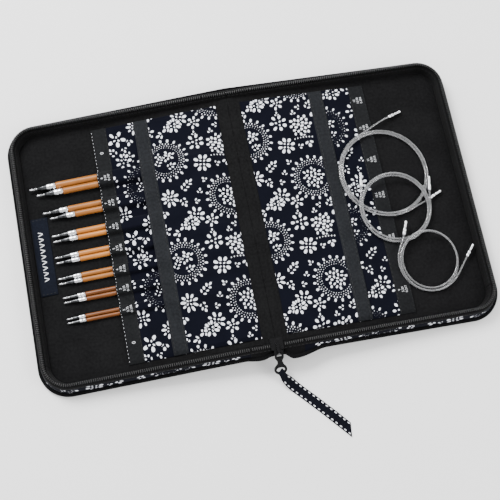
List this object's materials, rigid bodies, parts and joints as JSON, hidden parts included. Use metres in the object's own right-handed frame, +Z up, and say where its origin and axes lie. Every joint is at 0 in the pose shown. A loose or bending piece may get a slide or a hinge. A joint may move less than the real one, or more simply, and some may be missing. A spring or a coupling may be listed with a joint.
{
  "type": "interchangeable knitting needle set",
  "caption": "Zip-round fabric case lying open like a book, holding paired bamboo needle tips with steel ends and coiled clear cables with screw connectors.",
  "frame": {"origin": "on the supporting surface, at the middle of the bounding box of the case with its pull ribbon", "axes": "+X across the pages towards the right page, +Y along the spine away from the zip slider, +Z up"},
  "size_m": [0.336, 0.271, 0.0231],
  "materials": {
    "canvas": "matt",
    "print_cloth": "printed cotton",
    "size_tape": "woven binding",
    "zip_coil": "satin",
    "navy_weave": "woven label",
    "bamboo": "smooth, lightly polished",
    "steel": "polished",
    "nylon": "clear",
    "black_metal": "satin"
  },
  "bodies": {
    "spine": {"spine_panel": "canvas", "zip_slider": "black_metal"},
    "left_page": {"cover_left": "canvas", "piping_left": "canvas", "gusset_left": "print_cloth", "zip_left": "zip_coil", "lining_left": "canvas", "needle_pocket_left": "print_cloth", "size_tape_left": "size_tape", "front_pocket_left": "print_cloth", "woven_label": "navy_weave"},
    "right_page": {"cover_right": "canvas", "piping_right": "canvas", "gusset_right": "print_cloth", "zip_right": "zip_coil", "lining_right": "canvas", "needle_pocket_right": "print_cloth", "size_tape_right": "size_tape", "front_pocket_right": "print_cloth"},
    "needle_1_far": {"needle_1_far_shaft": "bamboo", "needle_1_far_ferrule": "steel"},
    "needle_1_near": {"needle_1_near_shaft": "bamboo", "needle_1_near_ferrule": "steel"},
    "needle_2_far": {"needle_2_far_shaft": "bamboo", "needle_2_far_ferrule": "steel"},
    "needle_2_near": {"needle_2_near_shaft": "bamboo", "needle_2_near_ferrule": "steel"},
    "needle_3_far": {"needle_3_far_shaft": "bamboo", "needle_3_far_ferrule": "steel"},
    "needle_3_near": {"needle_3_near_shaft": "bamboo", "needle_3_near_ferrule": "steel"},
    "needle_4_far": {"needle_4_far_shaft": "bamboo", "needle_4_far_ferrule": "steel"},
    "needle_4_near": {"needle_4_near_shaft": "bamboo", "needle_4_near_ferrule": "steel"},
    "needle_5_far": {"needle_5_far_shaft": "bamboo", "needle_5_far_ferrule": "steel"},
    "needle_5_near": {"needle_5_near_shaft": "bamboo", "needle_5_near_ferrule": "steel"},
    "needle_6_far": {"needle_6_far_shaft": "bamboo", "needle_6_far_ferrule": "steel"},
    "needle_6_near": {"needle_6_near_shaft": "bamboo", "needle_6_near_ferrule": "steel"},
    "needle_7_far": {"needle_7_far_shaft": "bamboo", "needle_7_far_ferrule": "steel"},
    "needle_7_near": {"needle_7_near_shaft": "bamboo", "needle_7_near_ferrule": "steel"},
    "cable_a": {"cable_a_coil": "nylon", "cable_a_strand": "nylon", "cable_a_connector_1": "steel", "cable_a_connector_2": "steel"},
    "cable_b": {"cable_b_coil": "nylon", "cable_b_connector_1": "steel", "cable_b_connector_2": "steel"},
    "cable_c": {"cable_c_coil": "nylon", "cable_c_strand": "nylon", "cable_c_connector_1": "steel", "cable_c_connector_2": "steel"},
    "pull": {"zip_pull": "black_metal"},
    "ribbon": {"pull_ribbon": "navy_weave"}
  },
  "joints": [
    {"name": "fold_left", "type": "hinge", "parent": "spine", "child": "left_page", "pos_m": [-0.0065, 0.03203, 0.0147], "axis": [0, -1, 0], "range_deg": [-92.3, 0]},
    {"name": "fold_right", "type": "hinge", "parent": "spine", "child": "right_page", "pos_m": [0.0065, 0.03203, 0.0147], "axis": [0, 1, 0], "range_deg": [-92.3, 0]},
    {"name": "slide_needle_1_far", "type": "slide", "parent": "left_page", "child": "needle_1_far", "axis": [-0.9969, 0, -0.0785], "range_m": [-0.008, 0.0035]},
    {"name": "slide_needle_1_near", "type": "slide", "parent": "left_page", "child": "needle_1_near", "axis": [-0.9969, 0, -0.0785], "range_m": [-0.008, 0.008]},
    {"name": "slide_needle_2_far", "type": "slide", "parent": "left_page", "child": "needle_2_far", "axis": [-0.9969, 0, -0.0785], "range_m": [-0.0045, 0.011]},
    {"name": "slide_needle_2_near", "type": "slide", "parent": "left_page", "child": "needle_2_near", "axis": [-0.9969, 0, -0.0785], "range_m": [0, 0.0085]},
    {"name": "slide_needle_3_far", "type": "slide", "parent": "left_page", "child": "needle_3_far", "axis": [-0.9969, 0, -0.0785], "range_m": [0, 0.008]},
    {"name": "slide_needle_3_near", "type": "slide", "parent": "left_page", "child": "needle_3_near", "axis": [-0.9969, 0, -0.0785], "range_m": [0, 0.008]},
    {"name": "slide_needle_4_far", "type": "slide", "parent": "left_page", "child": "needle_4_far", "axis": [-0.9969, 0, -0.0785], "range_m": [0, 0.0075]},
    {"name": "slide_needle_4_near", "type": "slide", "parent": "left_page", "child": "needle_4_near", "axis": [-0.9969, 0, -0.0785], "range_m": [0, 0.0075]},
    {"name": "slide_needle_5_far", "type": "slide", "parent": "left_page", "child": "needle_5_far", "axis": [-0.9969, 0, -0.0785], "range_m": [0, 0.007]},
    {"name": "slide_needle_5_near", "type": "slide", "parent": "left_page", "child": "needle_5_near", "axis": [-0.9969, 0, -0.0785], "range_m": [0, 0.007]},
    {"name": "slide_needle_6_far", "type": "slide", "parent": "left_page", "child": "needle_6_far", "axis": [-0.9969, 0, -0.0785], "range_m": [0, 0.013]},
    {"name": "slide_needle_6_near", "type": "slide", "parent": "left_page", "child": "needle_6_near", "axis": [-0.9969, 0, -0.0785], "range_m": [0, 0.013]},
    {"name": "slide_needle_7_far", "type": "slide", "parent": "left_page", "child": "needle_7_far", "axis": [-0.9969, 0, -0.0785], "range_m": [0, 0.013]},
    {"name": "slide_needle_7_near", "type": "slide", "parent": "left_page", "child": "needle_7_near", "axis": [-0.9969, 0, -0.0785], "range_m": [0, 0.013]},
    {"name": "lift_cable_a", "type": "slide", "parent": "right_page", "child": "cable_a", "axis": [0.0785, 0, 0.9969], "range_m": [0, 0.03]},
    {"name": "lift_cable_b", "type": "slide", "parent": "cable_a", "child": "cable_b", "axis": [0.0785, 0, 0.9969], "range_m": [0, 0.03]},
    {"name": "lift_cable_c", "type": "slide", "parent": "cable_b", "child": "cable_c", "axis": [0.0785, 0, 0.9969], "range_m": [0, 0.03]},
    {"name": "pull_swing", "type": "hinge", "parent": "spine", "child": "pull", "pos_m": [0, -0.06957, 0.0209], "axis": [-1, 0, 0], "range_deg": [0, 125]},
    {"name": "ribbon_swing", "type": "hinge", "parent": "pull", "child": "ribbon", "pos_m": [0.0022, -0.08657, 0.0062], "axis": [-0.749, -0.6626, 0], "range_deg": [0, 35]}
  ]
}
